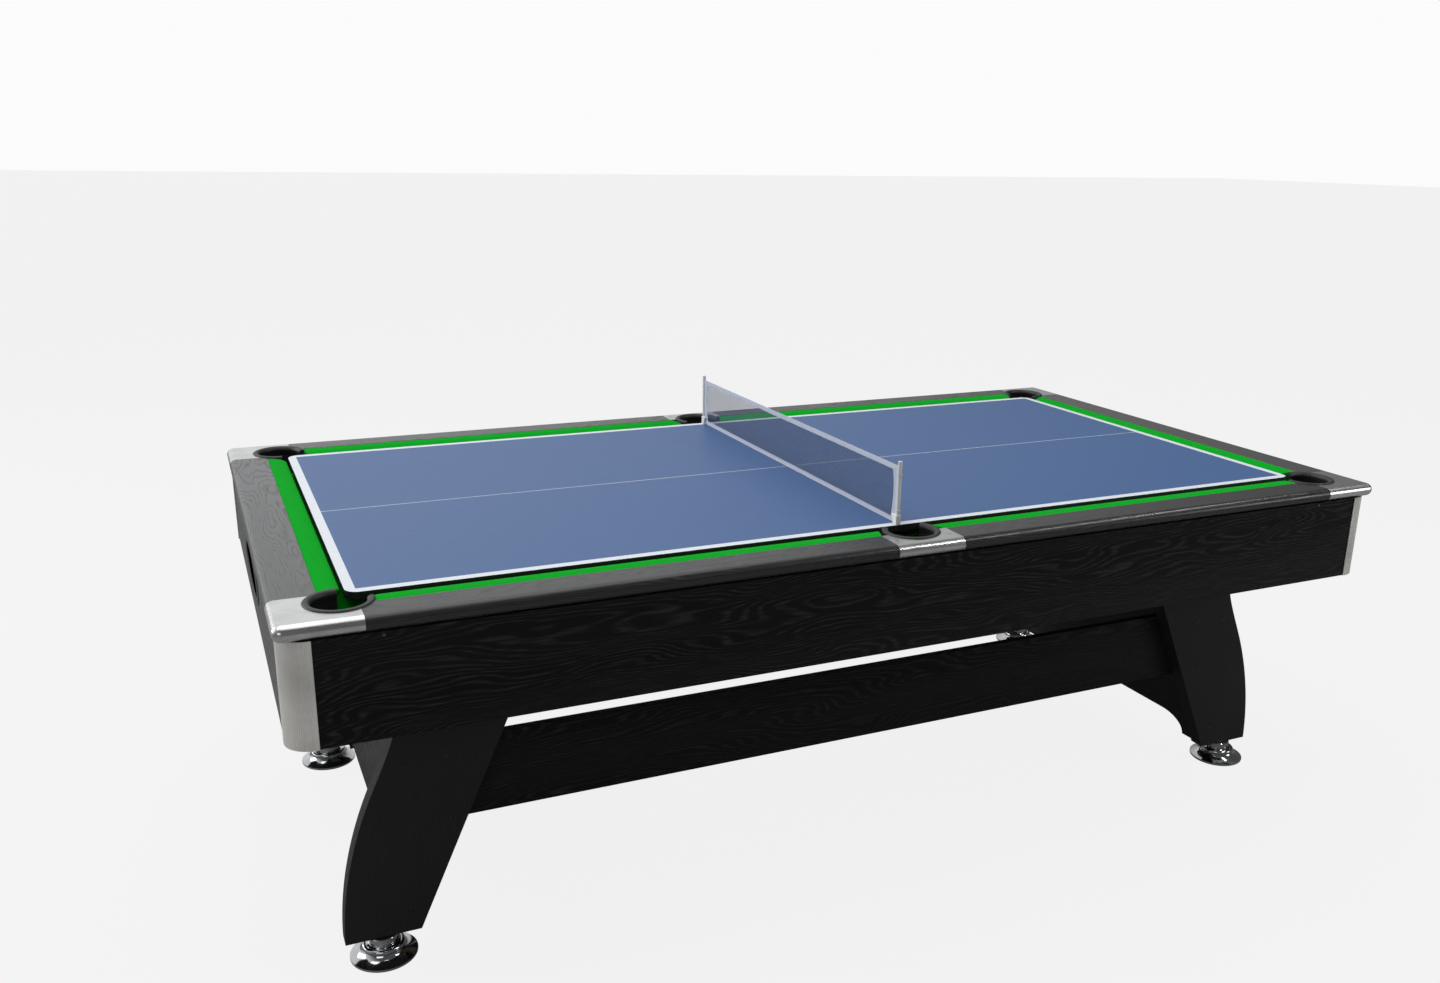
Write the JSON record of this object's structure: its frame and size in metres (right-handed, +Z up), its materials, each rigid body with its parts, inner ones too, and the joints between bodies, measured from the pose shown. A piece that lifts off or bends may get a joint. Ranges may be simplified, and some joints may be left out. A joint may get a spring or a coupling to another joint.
{
  "type": "pool table",
  "caption": "Home pool table with green cushions, plated pocket caps, end ball return, arched panel legs on levelling feet, and a lift-off blue table-tennis top with a net.",
  "frame": {"origin": "on the floor, under the middle of the table", "axes": "+X along the table away from the ball return end, +Y across it towards the rear, +Z up"},
  "size_m": [2.514, 1.35, 0.935],
  "materials": {
    "black_laminate": "satin black laminate with an open oak grain",
    "rail_laminate": "satin dark grey oak-grain laminate, rolled edge",
    "green_cloth": "matt bright green billiard cloth",
    "plated_metal": "bright plated metal",
    "silver_trim": "silver fluted plastic",
    "black_rubber": "moulded black rubber",
    "raw_board": "raw pressed board",
    "black_plastic": "moulded black plastic",
    "blue_top": "matt blue playing paint with white lines",
    "white_plastic": "moulded white plastic",
    "net_fabric": "fine white netting with white tapes"
  },
  "bodies": {
    "table": {"apron_front": "black_laminate", "apron_rear": "black_laminate", "apron_left_end": "black_laminate", "apron_right_end": "black_laminate", "corner_trim_front_left": "silver_trim", "corner_trim_rear_left": "silver_trim", "corner_trim_front_right": "silver_trim", "corner_trim_rear_right": "silver_trim", "playfield_bed": "raw_board", "bed_cloth": "green_cloth", "bed_beam_left": "raw_board", "bed_beam_right": "raw_board", "rail_front_left": "rail_laminate", "rail_rear_left": "rail_laminate", "rail_front_right": "rail_laminate", "rail_rear_right": "rail_laminate", "rail_left_end": "rail_laminate", "rail_right_end": "rail_laminate", "cushion_front_left": "green_cloth", "cushion_rear_left": "green_cloth", "cushion_front_right": "green_cloth", "cushion_rear_right": "green_cloth", "cushion_left_end": "green_cloth", "cushion_right_end": "green_cloth", "corner_cap_front_left": "plated_metal", "corner_cap_rear_left": "plated_metal", "corner_cap_front_right": "plated_metal", "corner_cap_rear_right": "plated_metal", "side_cap_front": "plated_metal", "side_cap_rear": "plated_metal", "pocket_liner_front_left": "black_rubber", "pocket_liner_rear_left": "black_rubber", "pocket_liner_front_right": "black_rubber", "pocket_liner_rear_right": "black_rubber", "pocket_liner_front_side": "black_rubber", "pocket_liner_rear_side": "black_rubber", "ball_return_bezel": "black_plastic", "ball_tray": "black_plastic", "ball_gutter_front": "black_plastic", "ball_gutter_rear": "black_plastic", "leg_panel_front_left": "black_laminate", "leg_panel_rear_left": "black_laminate", "leg_panel_front_right": "black_laminate", "leg_panel_rear_right": "black_laminate", "leg_end_panel_left": "black_laminate", "leg_end_panel_right": "black_laminate", "stretcher_front": "black_laminate", "stretcher_rear": "black_laminate"},
    "foot_front_left": {"levelling_foot_front_left": "plated_metal"},
    "foot_rear_left": {"levelling_foot_rear_left": "plated_metal"},
    "foot_front_right": {"levelling_foot_front_right": "plated_metal"},
    "foot_rear_right": {"levelling_foot_rear_right": "plated_metal"},
    "tennis_top": {"tennis_top_left": "blue_top", "tennis_top_right": "blue_top", "top_batten_front": "raw_board", "top_batten_rear": "raw_board"},
    "net_set": {"net_post_front": "white_plastic", "net_post_rear": "white_plastic", "net": "net_fabric"}
  },
  "joints": [
    {"name": "tennis_top_lift", "type": "slide", "parent": "table", "child": "tennis_top", "axis": [0, 0, 1], "range_m": [0, 0.3]},
    {"name": "net_lift", "type": "slide", "parent": "tennis_top", "child": "net_set", "axis": [0, 0, 1], "range_m": [0, 0.25]},
    {"name": "foot_front_left_adjust", "type": "slide", "parent": "table", "child": "foot_front_left", "axis": [0, 0, -1], "range_m": [0, 0.02]},
    {"name": "foot_rear_left_adjust", "type": "slide", "parent": "table", "child": "foot_rear_left", "axis": [0, 0, -1], "range_m": [0, 0.02]},
    {"name": "foot_front_right_adjust", "type": "slide", "parent": "table", "child": "foot_front_right", "axis": [0, 0, -1], "range_m": [0, 0.02]},
    {"name": "foot_rear_right_adjust", "type": "slide", "parent": "table", "child": "foot_rear_right", "axis": [0, 0, -1], "range_m": [0, 0.02]}
  ]
}
